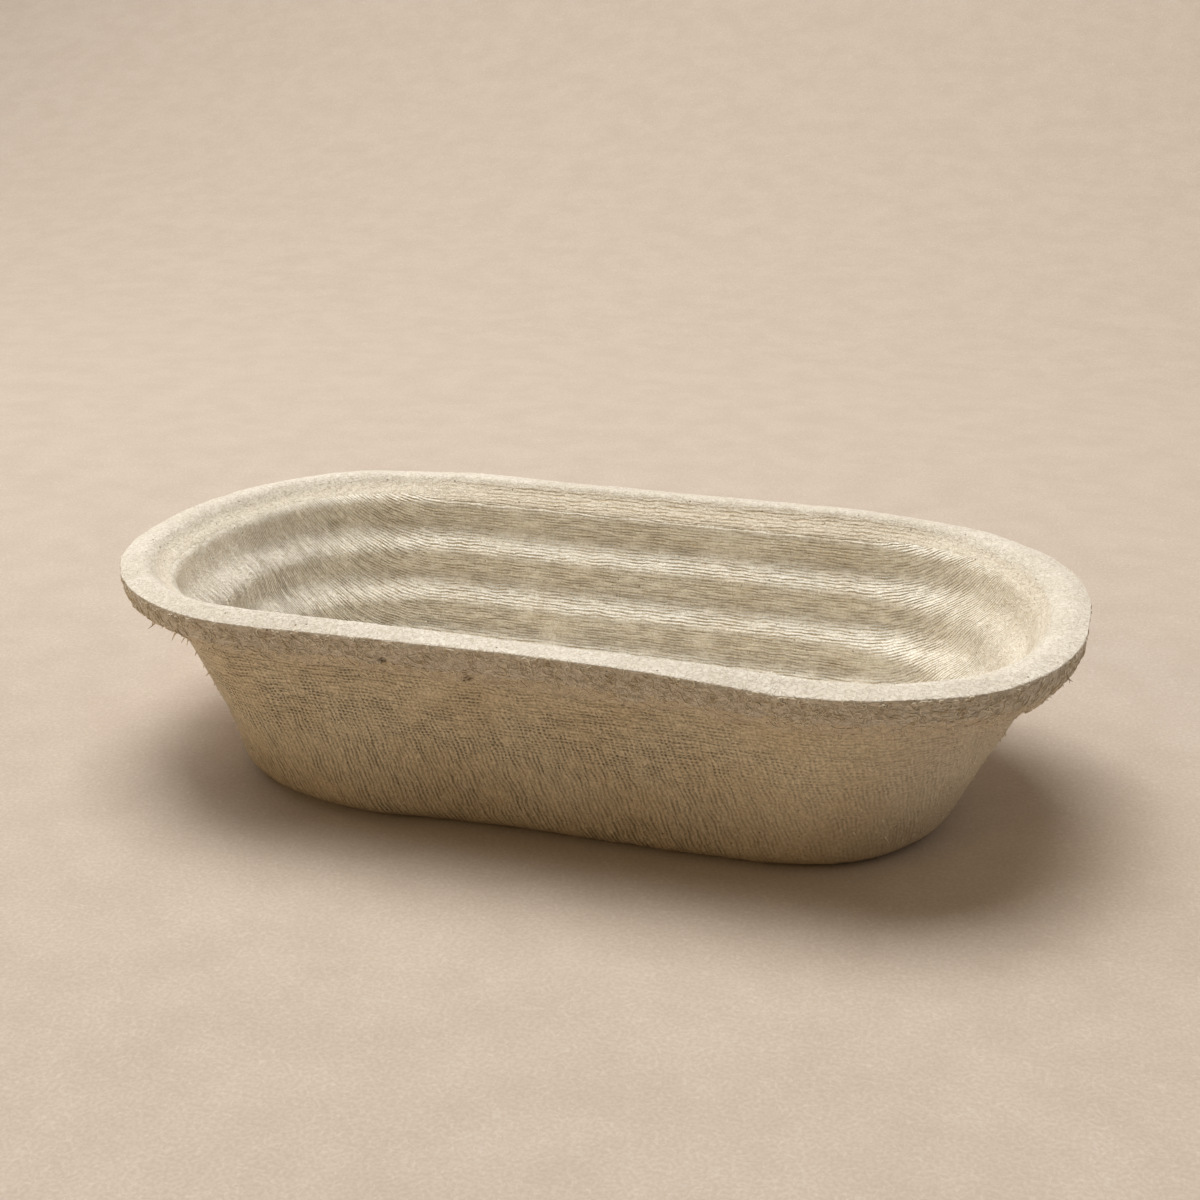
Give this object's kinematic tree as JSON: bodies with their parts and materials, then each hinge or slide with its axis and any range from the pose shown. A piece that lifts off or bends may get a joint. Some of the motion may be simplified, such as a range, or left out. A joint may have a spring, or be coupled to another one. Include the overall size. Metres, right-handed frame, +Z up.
{
  "type": "proofing basket",
  "caption": "Long oval bread proofing basket of moulded wood pulp: flat floor, sloping wall with rings of shallow waves inside, and a thick smooth rim band.",
  "frame": {"origin": "middle of the flat underside, on the surface that the basket stands on", "axes": "+X along the basket's length, +Y across its width, +Z up out of the mouth"},
  "size_m": [0.3, 0.152, 0.068],
  "materials": {
    "screened_pulp": "matte",
    "smooth_pulp": "matte"
  },
  "bodies": {
    "root": {"floor_panel": "screened_pulp", "ribbed_wall": "screened_pulp", "rim_band": "smooth_pulp"}
  },
  "joints": []
}
